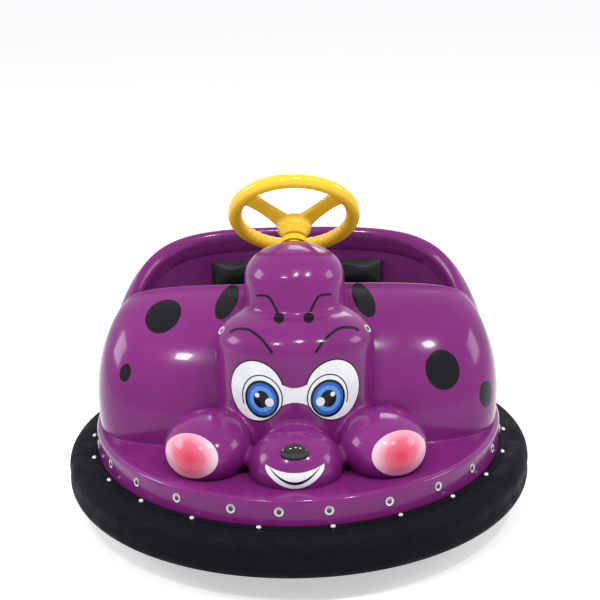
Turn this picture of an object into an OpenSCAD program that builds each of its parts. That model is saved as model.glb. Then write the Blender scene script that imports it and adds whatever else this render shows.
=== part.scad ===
// Battery bumper car for a fairground floor: a ladybird-shaped glass-fibre body on a steel
// frame, inside a black rubber bumper ring. The front points along -Y and the floor is z = 0.

/* [Bumper ring] */
// Width over the rubber bumper
bumper_w = 1000; // [940:10:1060]
// Length over the rubber bumper
bumper_l = 1200; // [1140:10:1260]
// Height of the rubber section
bumper_h = 89; // [80:1:96]
// Depth of the rubber section from the hoop outwards
bumper_t = 95; // [85:1:110]
// Radius of the two outer corners of the rubber
bumper_round = 30; // [15:1:38]
// Thickness of the steel hoop behind the rubber
hoop_t = 5; // [3:1:8]
// Height of the hoop's lower edge above the floor
hoop_low = 70; // [60:1:90]

/* [Deck] */
// Height of the deck's top above the floor
deck_z = 200; // [195:1:215]
// Depth of the skirt that hangs from the deck's edge
skirt_h = 55; // [48:1:60]
// How far the rubber stands out past the skirt
bumper_overhang = 62; // [55:1:70]
// Thickness of the glass-fibre mouldings
shell_t = 6; // [4:1:8]
// Gap left where two fixed mouldings meet
seam = 0.3; // [0.2:0.1:0.8]

/* [Body] */
// Width of the ledge between the body's side and the deck's edge
side_ledge = 10; // [6:1:20]
// Distance of the body's front foot ahead of the middle of the car
body_front = 240; // [220:5:260]
// Distance of the body's rear foot behind the middle of the car
body_rear = 450; // [430:5:470]
// How far behind the middle of the car the body is widest
body_mid = 50; // [30:5:70]
// How far the rim stands inside the foot at the sides
rim_side_inset = 48; // [38:1:56]
// How far the rim stands behind the foot at the front
rim_front_inset = 190; // [170:5:200]
// How far the rim stands ahead of the foot at the rear
rim_rear_inset = 110; // [90:5:120]
// Height of the rim at the front, behind the steering hump
rim_front_z = 490; // [480:1:505]
// Height of the rim where it dips at the sides
rim_dip_z = 381; // [370:1:400]
// Height of the rim behind the seat
rim_back_z = 528; // [510:1:540]
// Width of the rolled rim
rim_w = 24; // [20:1:30]
// Depth of the lip that turns down inside the rim
lip_h = 45; // [35:1:55]

/* [Face and hump] */
// Half width of the head
head_r = 165; // [155:1:168]
// How far the head reaches forward of its middle
head_depth = 140; // [130:1:145]
// Height of the top of the head
head_top = 500; // [490:1:506]
// Distance of the middle of the head ahead of the middle of the car
head_y = 202; // [195:1:210]
// Half width of the steering hump
hump_r = 104; // [95:1:106]
// Height of the rounded top of the steering hump
hump_h = 70; // [60:1:76]
// Half width of the snout
snout_r = 95; // [88:1:98]
// Half height of the snout
snout_h = 72; // [66:1:76]
// Distance of the middle of the snout ahead of the middle of the car
snout_y = 398; // [390:1:404]
// Half width of a cheek
cheek_r = 88; // [82:1:90]
// Half height of a cheek
cheek_h = 78; // [72:1:80]
// Distance of a cheek from the middle line
cheek_x = 172; // [165:1:176]

/* [Seat] */
// Height of the seat bench
bench_z = 355; // [345:1:365]
// Thickness of the seat cushion
cushion_t = 45; // [35:1:50]
// Width of the seat cushion
cushion_w = 460; // [400:5:480]
// Thickness of the back pad
back_pad_t = 26; // [20:1:32]

/* [Wheels] */
// Radius of a road wheel
wheel_r = 75; // [70:1:77]
// Width of a tyre
tyre_w = 40; // [32:1:42]
// Gap between a rear wheel and the hoop beside it
wheel_gap = 12; // [8:1:40]
// Place of the rear axle, as a share of the way from the middle to the rear end
axle_share = 0.45; // [0.4:0.01:0.5]
// Place of the drive wheel's pivot, as a share of the way from the middle to the front end
pivot_share = 0.32; // [0.28:0.01:0.33]
// Radius of the rear axle
axle_r = 10; // [8:0.5:12]
// Radius of the drive wheel's pivot pin
pivot_r = 12; // [10:0.5:14]

/* [Frame] */
// Width and height of a frame tube
tube_w = 40; // [30:1:40]
// Distance of a frame rail from the middle line
rail_x = 150; // [145:1:160]

/* [Steering wheel] */
// Radius of the rim's centre line
rim_r = 125; // [110:1:135]
// Radius of the rim's section
grip_r = 15; // [12:0.5:17]
// Lean of the steering column from upright
column_lean = 46; // [40:1:50]
// Radius of the steering shaft
shaft_r = 11; // [9:0.5:13]

/* [Hidden] */

run_gap = 0.05;                        // radial clearance of a turning pin
slack = 0.1;                           // radial clearance of a fixed pin
clear = 5;                             // room round a turning piece
over = 1;                              // how far a cutter runs past a face

bumper_r = bumper_w / 2;
axle_y = axle_share * bumper_l / 2;
pivot_y = pivot_share * bumper_l / 2;
hoop_in = bumper_t + hoop_t;           // how far the hoop's inside lies in from the rubber's face
deck_r = bumper_r - bumper_overhang;
skirt_low = deck_z - skirt_h;
bumper_top = skirt_low - 1;
deck_under = deck_z - shell_t;
deck_round = 10;                       // radius of the deck's outer edge
deck_band = 60;                        // width of the turned band at the deck's edge

// Body: plan curves are superellipses, [half width, front reach, rear reach]
body_r = deck_r - side_ledge;
foot = [body_r, body_front + body_mid, body_rear - body_mid];
rim = [foot[0] - rim_side_inset, foot[1] - rim_front_inset, foot[2] - rim_rear_inset];
inner = [rim[0] - rim_w, rim[1] - rim_w, rim[2] - rim_w];
front_power = 4;                       // squareness of the plan ahead of its widest place
rear_power = 2.4;                      // squareness of the plan behind it
wall_turn = 80;                        // how far a body section turns from upright at the rim
ribs = 72;                             // sections round the body
wall_bulge = 8;                        // how far the wall swells outwards at half height
dip_round = 0.003;                     // softness of the dip at the sides
rib_steps = 7;                         // points up each section
liner_lean = 40;                       // how far the liner's foot stands inside its top at the back
liner_from = -0.3;                     // where the liner starts, as a share of the front reach

head_base_z = deck_z + 225;
head_rise = head_top - head_base_z;
snout_z = deck_z + 22;
cheek_y = snout_y - 33;
cheek_z = deck_z + 54;
cheek_fall = 12;                       // how steeply a cheek falls away towards the body
nose_size = [28, 14, 19];
nose_place = [0, -468, 270];

// Steering column, measured down its axis from the middle of the wheel
wheel_y = -38;
wheel_z = 648;
dish = 30;                             // how far the hub lies below the rim
hub_top = dish - 12;
hub_top_r = 36;
hub_low = 58;
bearing_top = 64;
bearing_low = 130;
bearing_t = 9;
shaft_low = 150;
hump_y = -150;
hump_z = 543;
hump_low = 230;                        // length of the hump's straight part
hump_lean = 12;                        // lean of the hump from upright
step = 1;                              // how much narrower a straight part is than the ball on its end

back_pad_turn = 35;                    // how far the back pad reaches round to each side
bench_front = 40;
bench_t = 8;
cushion_y = [bench_front + 12, 245];   // front and back edges of the cushion
cushion_round = 40;
pedal_place = [120, -150];
tray_floor = 116;
battery = [240, 165, 170];
battery_y = 72;
bay = [battery[0] + 16, battery[1] + 16];

rail_low = deck_under - tube_w;
tube_wall = 3;
cross_y = [-330, -60, 40, 262, 400];   // cross tubes between the rails, front to rear
outer_y = [-330, -60, 150, 400];       // cross tubes from the rails out to the hoop
bracket_t = 8;
bracket_r = 24;
axle_out = 12;                         // how far the rear axle stands out past each tyre
pivot_plate = [2 * (rail_x - tube_w / 2), 110];
pivot_tube_r = 22;
pivot_low = wheel_r * 2 + 22;
pivot_top = 262;
crown_t = 8;
crown_z = wheel_r * 2 + clear + 1;
leg_t = 6;
leg_x = tyre_w / 2 + 7;
drive_pin_r = 8;
leg_w = 40;
hoop_y = bumper_l / 2 - hoop_in;
motor_r = 46;
rear_rim_r = 44;
hub_r = 22;
hub_out = 3;                           // how far a wheel's hub stands out past its tyre
rear_x = (bumper_r - hoop_in) * sqrt(1 - pow((axle_y + wheel_r) / hoop_y, 2))
    - wheel_gap - hub_out - tyre_w / 2;
tunnel_w = 100;
tunnel_top = 400;
tunnel_back = -110;

module at_column() translate([0, wheel_y, wheel_z]) rotate([-column_lean, 0, 0]) children();

// Point on the car's oval outline whose outward direction is a, moved in by t
function outline_at(a, t) = let (r = [bumper_w / 2, bumper_l / 2],
        h = sqrt(pow(r[0] * cos(a), 2) + pow(r[1] * sin(a), 2)))
    [(r[0] * r[0] / h - t) * cos(a), (r[1] * r[1] / h - t) * sin(a)];

// Ring with one profile all the way round: each point is [distance in from the rubber's face, height]
module outline_ring(profile) skin([for (i = [0 : ribs - 1]) let (a = i * 360 / ribs)
    [for (p = profile) raised(outline_at(a, p[0]), p[1])]], true);
module outline_plate(t, z0, z1) translate([0, 0, z0]) linear_extrude(height = z1 - z0)
    polygon([for (i = [0 : ribs - 1]) outline_at(i * 360 / ribs, t)]);

module ball(size, place) translate(place) scale(size / size[0]) sphere(r = size[0], $fn = 64);

// Point at angle a on a superellipse of the given reach [side, front, rear]
function power_at(a) = sin(a) < 0 ? front_power : rear_power;
function unit_at(a) = let (n = power_at(a),
    r = pow(pow(abs(cos(a)), n) + pow(abs(sin(a)), n), -1 / n)) [r * cos(a), r * sin(a)];
function plan(reach, a) = let (u = unit_at(a))
    [reach[0] * u[0], body_mid + (u[1] < 0 ? reach[1] : reach[2]) * u[1]];
function inset(reach, t) = [reach[0] - t, reach[1] - t, reach[2] - t];
function rim_z(a) = let (v = unit_at(a)[1]) v < 0
    ? rim_dip_z + (rim_front_z - rim_dip_z)
        * (pow(v * v + dip_round, 0.3) - pow(dip_round, 0.3)) / (pow(1 + dip_round, 0.3) - pow(dip_round, 0.3))
    : rim_dip_z + (rim_back_z - rim_dip_z) * pow(sin(90 * v), 1.1);
function mix(p, q, s) = p + (q - p) * s;

// One upright line of points up the body wall, from reach lo to reach hi, topping out at z1
function wall_line(a, lo, hi, z1) = [for (k = [0 : rib_steps])
    let (u = wall_turn * k / rib_steps, h = sin(u) / sin(wall_turn), b = wall_bulge * sin(180 * h),
        p = mix(plan(inset(lo, -b), a), plan(inset(hi, -b), a), (1 - cos(u)) / (1 - cos(wall_turn))))
    [p[0], p[1], deck_z + (z1 - deck_z) * h]];
function raised(p, z) = [p[0], p[1], z];
function turned(list) = [for (k = [len(list) - 1 : -1 : 0]) list[k]];

// Closed section of the body wall: up the outside, over the rolled rim, down the lip and back
function body_section(a) = let (z = rim_z(a), r = plan(rim, a), i = plan(inner, a),
        o = plan(inset(inner, -shell_t), a))
    concat(wall_line(a, foot, rim, z),
        [raised(mix(r, i, 0.35), z + 7), raised(mix(r, i, 0.75), z + 3), raised(i, z - 12),
         raised(i, z - lip_h), raised(o, z - lip_h), raised(o, z - 14),
         raised(mix(r, i, 0.55), z - shell_t + 2)],
        turned(wall_line(a, inset(foot, shell_t), inset(rim, shell_t / 3), z - shell_t)));

// Closed section of the liner below the lip: its foot leans in towards the seat
liner_foot = [inner[0] - 14, inner[1], inner[2] - liner_lean];
function liner_section(a) = let (z = rim_z(a) - lip_h - seam,
        i = plan(inner, a), o = plan(inset(inner, -shell_t), a),
        j = plan(liner_foot, a), q = plan(inset(liner_foot, -shell_t), a))
    [raised(i, z), raised(j, deck_z), raised(q, deck_z), raised(o, z)];

// Skin over a list of equal closed sections; a ring joins its last section to its first
module skin(sections, ring) {
    n = len(sections);
    m = len(sections[0]);
    last = ring ? n - 1 : n - 2;
    sides = [for (i = [0 : last]) for (k = [0 : m - 1])
        let (j = (i + 1) % n, l = (k + 1) % m, p = i * m + k, q = i * m + l, r = j * m + l, s = j * m + k)
        each [[p, q, r], [p, r, s]]];
    ends = ring ? [] : [[for (k = [m - 1 : -1 : 0]) k], [for (k = [0 : m - 1]) (n - 1) * m + k]];
    polyhedron(points = [for (s = sections) each s], faces = concat(sides, ends), convexity = 8);
}

// Outline of the liner's inside at height z, for the bench that fits it
function liner_reach(z) = let (top = rim_back_z - lip_h, s = (z - deck_z) / (top - deck_z))
    [for (k = [0 : 2]) mix(liner_foot[k], inner[k], s) - 1];

module bumper() color([0.06, 0.06, 0.07]) outline_ring(concat(
    [[bumper_t, bumper_top - bumper_h], [bumper_t, bumper_top]],
    [for (u = [90 : -15 : 0]) [bumper_round * (1 - cos(u)), bumper_top - bumper_round * (1 - sin(u))]],
    [for (u = [0 : 15 : 90])
        [bumper_round * (1 - cos(u)), bumper_top - bumper_h + bumper_round * (1 - sin(u))]]));

module hoop() color([0.35, 0.36, 0.38]) outline_ring(
    [[hoop_in, hoop_low], [hoop_in, deck_under], [bumper_t, deck_under], [bumper_t, hoop_low]]);

module tube(size) difference() {
    cube(size, center = true);
    along = size[1] > size[0] ? 1 : 0;
    cube([for (k = [0 : 2]) k == along ? size[k] + over : size[k] - 2 * tube_wall], center = true);
}

// Two rails and the cross tubes between them and out to the hoop
module frame() color([0.30, 0.31, 0.33]) intersection() {
    union() {
        for (x = [-rail_x, rail_x])
            translate([x, 0, rail_low + tube_w / 2]) tube([tube_w, bumper_l, tube_w]);
        for (y = cross_y) translate([0, y, rail_low + tube_w / 2])
            tube([2 * rail_x - tube_w, tube_w, tube_w]);
        for (y = outer_y, s = [-1, 1])
            translate([s * (rail_x + tube_w / 2 + bumper_w / 4), y, rail_low + tube_w / 2])
            tube([bumper_w / 2, tube_w, tube_w]);
    }
    outline_plate(hoop_in, rail_low, deck_under);
}

module battery_tray() color([0.30, 0.31, 0.33]) difference() {
    w = 2 * rail_x - bracket_t - 2;
    translate([-w / 2, battery_y - 8, tray_floor - 4]) cube([w, bay[1], rail_low - tray_floor + 4]);
    translate([-w / 2 + 4, battery_y - 4, tray_floor]) cube([w - 8, bay[1] - 8, rail_low]);
}

module battery_pack() color([0.12, 0.12, 0.13])
    translate([-battery[0] / 2, battery_y, tray_floor]) cube(battery);

// The deck is the ledge round the body and the floor under the driver's feet
// Turned-down edge of the deck, with the skirt
plate_in = bumper_overhang + deck_round;
skirt_in = bumper_overhang + shell_t;
function edge_at(t, r, z, u) = [t + r * (1 - cos(u)), z - r * (1 - sin(u))];
module deck() color([0.55, 0.13, 0.50]) outline_ring(concat(
    [[plate_in, deck_under], [plate_in, deck_z]],
    [for (u = [75 : -15 : 0]) edge_at(bumper_overhang, deck_round, deck_z, u)],
    [[bumper_overhang, skirt_low], [skirt_in, skirt_low]],
    [for (u = [0 : 30 : 60]) edge_at(skirt_in, deck_round - shell_t, deck_under, u)]));

// Flat of the deck: the ledge round the body and the floor under the driver's feet
module floor_panel() color([0.55, 0.13, 0.50]) difference() {
    outline_plate(plate_in, deck_under, deck_z);
    translate([-bay[0] / 2, battery_y - 8, deck_under - over]) cube([bay[0], bay[1], shell_t + 2 * over]);
    translate([0, -pivot_y, deck_under - over])
        cylinder(r = pivot_tube_r + clear, h = shell_t + 2 * over, $fn = 48);
}

module body_shell() color([0.55, 0.13, 0.50])
    skin([for (i = [0 : ribs - 1]) body_section(i * 360 / ribs)], true);

module cockpit_liner() color([0.42, 0.09, 0.40])
    skin([for (i = [0 : ribs - 1]) let (a = -90 + i * 360 / ribs)
        if (unit_at(a)[1] >= liner_from) liner_section(a)], false);

// Outer form of the face and hump, drawn in by t; each straight part is a little narrower than its ball
module face_form(t) {
    translate([0, -head_y, deck_z - over]) scale([1, (head_depth - t - step) / (head_r - t - step), 1])
        cylinder(r = head_r - t - step, h = head_base_z - deck_z + 2 * over, $fn = 64);
    ball([head_r - t, head_depth - t, head_rise - t], [0, -head_y, head_base_z]);
    ball([snout_r - t, snout_r - t, snout_h - t], [0, -snout_y, snout_z]);
    for (s = [-1, 1]) {
        ball([cheek_r - t, cheek_r - t, cheek_h - t], [s * cheek_x, -cheek_y, cheek_z]);
        translate([s * cheek_x, -cheek_y, cheek_z]) rotate([-90 - cheek_fall, 0, 0])
            scale([1, (cheek_h - t - step) / (cheek_r - t - step), 1])
            cylinder(r = cheek_r - t - step, h = cheek_y - body_mid, $fn = 64);
    }
    ball([hump_r - t, hump_r - t, hump_h - t], [0, hump_y, hump_z]);
    translate([0, hump_y, hump_z]) rotate([180 - hump_lean, 0, 0])
        cylinder(r = hump_r - t - step, h = hump_low, $fn = 64);
}

// All that lies behind the body's front wall and under its rim, grown by g
module behind_wall(g) rotate([90, 0, 90]) linear_extrude(height = bumper_w, center = true) polygon(concat(
    [for (p = wall_line(-90, foot, rim, rim_front_z)) [p[1] - g, p[2] + g]],
    [[plan(rim, -90)[1] - g, rim_front_z + 8 + g], [body_mid, rim_front_z + 8 + g], [body_mid, 0],
     [-body_front - g, 0]]));

module front_moulding() color([0.55, 0.13, 0.50]) difference() {
    face_form(0);
    face_form(shell_t);
    translate([-bumper_r, -bumper_l, -bumper_l + deck_z]) cube([bumper_w, 2 * bumper_l, bumper_l]);
    behind_wall(seam);
    at_column() translate([0, 0, -bearing_low])
        cylinder(r = shaft_r + bearing_t + slack, h = bearing_low, $fn = 48);
}

module nose() color([0.05, 0.05, 0.07]) difference() {
    ball(nose_size, nose_place);
    ball([snout_r, snout_r, snout_h], [0, -snout_y, snout_z]);
}

module bench_plan(z) translate([0, 0, z]) linear_extrude(height = 0.01)
    polygon([for (i = [0 : 47]) plan(liner_reach(z), i * 7.5)]);

// Seat box: fills the liner behind the footwell, hollow over the battery
module seat_bench() color([0.48, 0.11, 0.45]) difference() {
    hull() {
        bench_plan(deck_z);
        bench_plan(bench_z - 0.01);
    }
    translate([-body_r, -bumper_l + bench_front, 0]) cube([2 * body_r, bumper_l, bumper_l]);
    translate([-bay[0] / 2, battery_y - 8, deck_z - over])
        cube([bay[0], bay[1], bench_z - deck_z - bench_t + over]);
}

module pad(size, r) {
    for (x = [r, size[0] - r], y = [r, size[1] - r]) translate([x, y, 0])
        cylinder(r = r, h = size[2], $fn = 32);
    translate([r, 0, 0]) cube([size[0] - 2 * r, size[1], size[2]]);
    translate([0, r, 0]) cube([size[0], size[1] - 2 * r, size[2]]);
}

module seat_cushion() color([0.10, 0.10, 0.11]) translate([-cushion_w / 2, cushion_y[0], bench_z])
    pad([cushion_w, cushion_y[1] - cushion_y[0], cushion_t], cushion_round);

// The back pad lies against the liner and curves with it
module back_pad() color([0.10, 0.10, 0.11]) {
    low = bench_z + cushion_t + 4;
    high = rim_back_z - lip_h - 6;
    skin([for (a = [90 - back_pad_turn : 5 : 90 + back_pad_turn])
        [raised(plan(inset(liner_reach(low), back_pad_t), a), low), raised(plan(liner_reach(low), a), low),
         raised(plan(liner_reach(high), a), high),
         raised(plan(inset(liner_reach(high), back_pad_t), a), high)]],
        false);
}

// Cover over the top of the pivot, between the driver's feet
module column_tunnel() color([0.42, 0.09, 0.40]) difference() {
    tunnel_form(0);
    tunnel_form(shell_t);
}
module tunnel_form(t) translate([-tunnel_w / 2 + t, 0, 0]) rotate([90, 0, 90])
    linear_extrude(height = tunnel_w - 2 * t) polygon(concat(
    [[tunnel_back - t, deck_z - (t > 0 ? over : 0)], [tunnel_back - t, tunnel_top - t]],
    [for (k = [3 : -1 : 0])
        let (p = wall_line(-90, inset(foot, shell_t + 1), inset(rim, 3), rim_front_z - shell_t - 1)[k])
        [p[1] + t, min(p[2], tunnel_top - t) - (t > 0 && k == 0 ? over : 0)]]));

module foot_pedal() color([0.15, 0.15, 0.16]) translate([pedal_place[0], pedal_place[1], deck_z]) {
    cube([70, 90, 6]);
    translate([5, 86, 4]) rotate([-28, 0, 0]) translate([0, -82, 0]) cube([60, 82, 8]);
    translate([15, 12, 5]) cube([40, 12, 30]);
}

module pivot_bracket() color([0.35, 0.36, 0.38]) difference() {
    union() {
        translate([-pivot_plate[0] / 2, -pivot_y - pivot_plate[1] / 2, deck_under - bracket_t])
            cube([pivot_plate[0], pivot_plate[1], bracket_t]);
        translate([0, -pivot_y, pivot_low]) cylinder(r = pivot_tube_r, h = pivot_top - pivot_low, $fn = 48);
    }
    translate([0, -pivot_y, 0]) cylinder(r = pivot_r + run_gap, h = bumper_l, $fn = 48);
}

module column_bearing() color([0.35, 0.36, 0.38]) at_column() difference() {
    union() {
        translate([0, 0, -bearing_low])
            cylinder(r = shaft_r + bearing_t, h = bearing_low - bearing_top, $fn = 48);
        difference() {
            translate([0, 0, -bearing_top - 12]) cylinder(r = shaft_r + bearing_t + 6, h = 12, $fn = 48);
            rotate([column_lean, 0, 0]) translate([0, -wheel_y, -wheel_z])
                ball([hump_r + seam, hump_r + seam, hump_h + seam], [0, hump_y, hump_z]);
        }
    }
    translate([0, 0, -shaft_low]) cylinder(r = shaft_r + run_gap, h = shaft_low, $fn = 48);
}

spoke_at = [90, 214, 326];             // where the three spokes leave the hub

module steering_rim() color([0.95, 0.72, 0.08]) at_column() {
    rotate_extrude($fn = 96) translate([rim_r, 0]) circle(r = grip_r, $fn = 48);
    for (a = spoke_at) rotate([0, 0, a]) difference() {
        translate([22, 0, -dish]) rotate([0, -atan(dish / (rim_r - 22)), 0])
            linear_extrude(height = grip_r, center = true)
            polygon([[0, -21], [50, -12], [rim_r - 24, -17], [rim_r - 24, 17], [50, 12], [0, 21]]);
        cylinder(r = hub_top_r, h = 3 * dish, center = true, $fn = 48);
    }
}

module steering_hub() color([0.95, 0.72, 0.08]) at_column() difference() {
    union() {
        translate([0, 0, -dish - 9]) cylinder(r = hub_top_r, h = 18, $fn = 48);
        translate([0, 0, -hub_low]) cylinder(r1 = hub_r + 2, r2 = hub_top_r, h = hub_low - dish - 9, $fn = 48);
    }
    translate([0, 0, -hub_low - over]) cylinder(r = shaft_r + slack, h = hub_low - dish + over, $fn = 48);
}

module steering_shaft() color([0.60, 0.61, 0.63]) at_column()
    translate([0, 0, -shaft_low]) cylinder(r = shaft_r, h = shaft_low - dish, $fn = 48);

module drive_fork() color([0.30, 0.31, 0.33]) translate([0, -pivot_y, 0]) difference() {
    union() {
        translate([-leg_x - leg_t, -leg_w / 2, crown_z]) cube([2 * (leg_x + leg_t), leg_w, crown_t]);
        for (x = [-leg_x - leg_t, leg_x]) translate([x, 0, 0]) {
            translate([0, -leg_w / 2, wheel_r]) cube([leg_t, leg_w, crown_z - wheel_r + over]);
            translate([0, 0, wheel_r]) rotate([0, 90, 0]) cylinder(r = leg_w / 2, h = leg_t, $fn = 48);
        }
        translate([0, 0, crown_z]) cylinder(r = pivot_r, h = pivot_top + 18 - crown_z, $fn = 48);
        translate([0, 0, pivot_top + 2]) cylinder(r = pivot_r + 8, h = 10, $fn = 6);
    }
    translate([-wheel_r, 0, wheel_r]) rotate([0, 90, 0])
        cylinder(r = drive_pin_r + slack, h = 2 * wheel_r, $fn = 48);
}

module drive_axle() color([0.60, 0.61, 0.63]) translate([0, -pivot_y, wheel_r]) rotate([0, 90, 0]) {
    cylinder(r = drive_pin_r, h = 2 * (leg_x + leg_t + 12), center = true, $fn = 48);
    for (s = [-1, 1]) translate([0, 0, s * (leg_x + leg_t + 4.5)])
        cylinder(r = 12, h = 8, center = true, $fn = 6);
}

module tyre(inside) rotate([0, 90, 0]) rotate_extrude($fn = 96) difference() {
    translate([inside, -tyre_w / 2]) square([wheel_r - inside, tyre_w]);
    for (s = [-1, 1]) translate([wheel_r, s * tyre_w / 2]) rotate(45) square(14, center = true);
}

module drive_tyre() color([0.07, 0.07, 0.08]) translate([0, -pivot_y, wheel_r]) tyre(motor_r);

module drive_motor() color([0.55, 0.56, 0.58]) translate([0, -pivot_y, wheel_r]) rotate([0, 90, 0])
difference() {
    union() {
        cylinder(r = motor_r, h = tyre_w, center = true, $fn = 64);
        cylinder(r = motor_r - 14, h = tyre_w + 8, center = true, $fn = 64);
    }
    cylinder(r = drive_pin_r + run_gap, h = 2 * tyre_w, center = true, $fn = 48);
}

module rear_axle() color([0.60, 0.61, 0.63]) translate([0, axle_y, wheel_r]) rotate([0, 90, 0])
    cylinder(r = axle_r, h = 2 * (rear_x + axle_out) + tyre_w, center = true, $fn = 48);

module axle_bracket(side) color([0.30, 0.31, 0.33]) difference() {
    union() {
        translate([side * rail_x - bracket_t / 2, axle_y - bracket_r, wheel_r])
            cube([bracket_t, 2 * bracket_r, rail_low - wheel_r]);
        translate([side * rail_x - bracket_t / 2, axle_y, wheel_r]) rotate([0, 90, 0])
            cylinder(r = bracket_r, h = bracket_t, $fn = 64);
    }
    translate([side * rail_x - wheel_r, axle_y, wheel_r]) rotate([0, 90, 0])
        cylinder(r = axle_r + slack, h = 2 * wheel_r, $fn = 48);
}

module rear_tyre(side) color([0.07, 0.07, 0.08])
    translate([side * rear_x, axle_y, wheel_r]) tyre(rear_rim_r);

module rear_rim(side) color([0.75, 0.76, 0.78]) translate([side * rear_x, axle_y, wheel_r]) rotate([0, 90, 0])
difference() {
    union() {
        difference() {
            cylinder(r = rear_rim_r, h = tyre_w, center = true, $fn = 64);
            for (s = [-1, 1]) translate([0, 0, s * tyre_w / 2])
                cylinder(r = rear_rim_r - 7, h = tyre_w - 10, center = true, $fn = 64);
        }
        cylinder(r = hub_r, h = tyre_w + 2 * hub_out, center = true, $fn = 48);
    }
    cylinder(r = axle_r + run_gap, h = 2 * tyre_w, center = true, $fn = 48);
    for (a = [0 : 60 : 300]) rotate(a + 30) translate([29.5, 0, 0])
        cylinder(r = 5, h = tyre_w, center = true, $fn = 24);
}

bumper();
hoop();
frame();
battery_tray();
battery_pack();
deck();
floor_panel();
body_shell();
cockpit_liner();
front_moulding();
nose();
seat_bench();
seat_cushion();
back_pad();
column_tunnel();
foot_pedal();
pivot_bracket();
column_bearing();
steering_rim();
steering_hub();
steering_shaft();
drive_fork();
drive_axle();
drive_tyre();
drive_motor();
rear_axle();
axle_bracket(-1);  // axle_bracket_left
axle_bracket(1);  // axle_bracket_right
rear_tyre(-1);  // rear_tyre_left
rear_rim(-1);  // rear_rim_left
rear_tyre(1);  // rear_tyre_right
rear_rim(1);  // rear_rim_right
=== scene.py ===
# Children's battery bumper car: the look of it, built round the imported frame
import math

import bpy
import numpy as np
from mathutils import Matrix, Vector
from mathutils.bvhtree import BVHTree


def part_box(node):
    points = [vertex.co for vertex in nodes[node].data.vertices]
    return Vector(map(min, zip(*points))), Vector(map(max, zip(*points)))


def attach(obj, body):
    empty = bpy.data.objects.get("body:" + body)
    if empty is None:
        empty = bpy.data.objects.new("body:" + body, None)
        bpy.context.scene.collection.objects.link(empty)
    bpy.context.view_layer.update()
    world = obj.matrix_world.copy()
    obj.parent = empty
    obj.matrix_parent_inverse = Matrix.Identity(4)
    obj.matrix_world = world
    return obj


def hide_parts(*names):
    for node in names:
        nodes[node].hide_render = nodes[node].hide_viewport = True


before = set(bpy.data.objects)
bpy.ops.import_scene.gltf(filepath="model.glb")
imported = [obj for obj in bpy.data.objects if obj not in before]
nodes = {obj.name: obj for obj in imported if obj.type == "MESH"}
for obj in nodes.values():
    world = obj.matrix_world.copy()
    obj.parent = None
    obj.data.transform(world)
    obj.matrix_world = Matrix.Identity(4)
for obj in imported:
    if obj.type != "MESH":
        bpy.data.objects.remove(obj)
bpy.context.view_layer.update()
ops = bpy.ops
mm = 0.001  # the dictionaries of pieces are in millimetres


# Small tools for modelling

def deselectAll():
    if bpy.context.mode != "OBJECT":
        ops.object.mode_set(mode="OBJECT")
    ops.object.select_all(action="DESELECT")


def pick(obj):
    deselectAll()
    obj.select_set(True)
    bpy.context.view_layer.objects.active = obj


def named(name):
    obj = bpy.context.view_layer.objects.active
    obj.name = name
    obj.data.name = name
    return obj


def settle(obj):
    pick(obj)
    ops.object.transform_apply(location=True, rotation=True, scale=True)
    return obj


def fresh():  # the primitive just added, with its place in its mesh
    return settle(bpy.context.view_layer.objects.active)


def modify(obj, kind, **settings):
    pick(obj)
    modifier = obj.modifiers.new(kind.lower(), kind)
    for key, value in settings.items():
        setattr(modifier, key, value)
    ops.object.modifier_apply(modifier=modifier.name)
    return obj


def joined(name, pieces):
    deselectAll()
    for piece in pieces:
        piece.select_set(True)
    bpy.context.view_layer.objects.active = pieces[0]
    ops.object.join()
    return named(name)


def editAll(obj):  # edit mode with everything selected
    pick(obj)
    ops.object.mode_set(mode="EDIT")
    ops.mesh.select_all(action="SELECT")


def outward(obj):
    editAll(obj)
    ops.mesh.remove_doubles(threshold=1e-6)
    ops.mesh.normals_make_consistent(inside=False)
    ops.object.mode_set(mode="OBJECT")
    return obj


def choose(obj, kind, wanted):  # selects the faces or edges that wanted says yes to, and opens edit mode
    pick(obj)
    ops.object.mode_set(mode="EDIT")
    ops.mesh.select_mode(type=kind)
    ops.mesh.select_all(action="DESELECT")
    ops.object.mode_set(mode="OBJECT")
    for part in obj.data.polygons if kind == "FACE" else obj.data.edges:
        part.select = wanted(part)
    ops.object.mode_set(mode="EDIT")


def dished(obj, rim, drop, bevel, segments):  # the top face drawn in by rim and sunk by drop
    choose(obj, "FACE", lambda part: part.normal.z > 0.9)
    ops.mesh.inset(thickness=rim * mm)
    ops.transform.translate(value=(0, 0, -drop * mm))
    ops.object.mode_set(mode="OBJECT")
    return modify(obj, "BEVEL", width=bevel * mm, segments=segments, limit_method="ANGLE")


def meshPiece(name, points, faces):
    mesh = bpy.data.meshes.new(name)
    mesh.from_pydata([tuple(p) for p in points], [], faces)
    mesh.update()
    obj = bpy.data.objects.new(name, mesh)
    bpy.context.scene.collection.objects.link(obj)
    return obj


# Sections joined into a skin: a ring joins its last section to its first, others get end caps
def skinPiece(name, sections, ring=True):
    count, size = len(sections), len(sections[0])
    faces = []
    for i in range(count if ring else count - 1):
        j = (i + 1) % count
        for k in range(size):
            m = (k + 1) % size
            faces.append((i * size + k, i * size + m, j * size + m, j * size + k))
    if not ring:
        faces.append(tuple(range(size - 1, -1, -1)))
        faces.append(tuple((count - 1) * size + k for k in range(size)))
    points = [p for section in sections for p in section]
    return outward(meshPiece(name, points, faces))


def fit(obj, body, slot, material, *replaced, sharp=40):  # edges over sharp degrees stay hard
    outward(obj)
    ops.object.shade_smooth_by_angle(angle=math.radians(sharp))
    obj.data.materials.clear()
    obj.data.materials.append(material)
    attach(obj, body)
    if replaced:
        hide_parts(*replaced)


# Materials, with their grain in metres

shaderLabels = {"coat": "Coat Weight", "coatRoughness": "Coat Roughness", "sheen": "Sheen Weight",
                "specular": "Specular IOR Level"}


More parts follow.
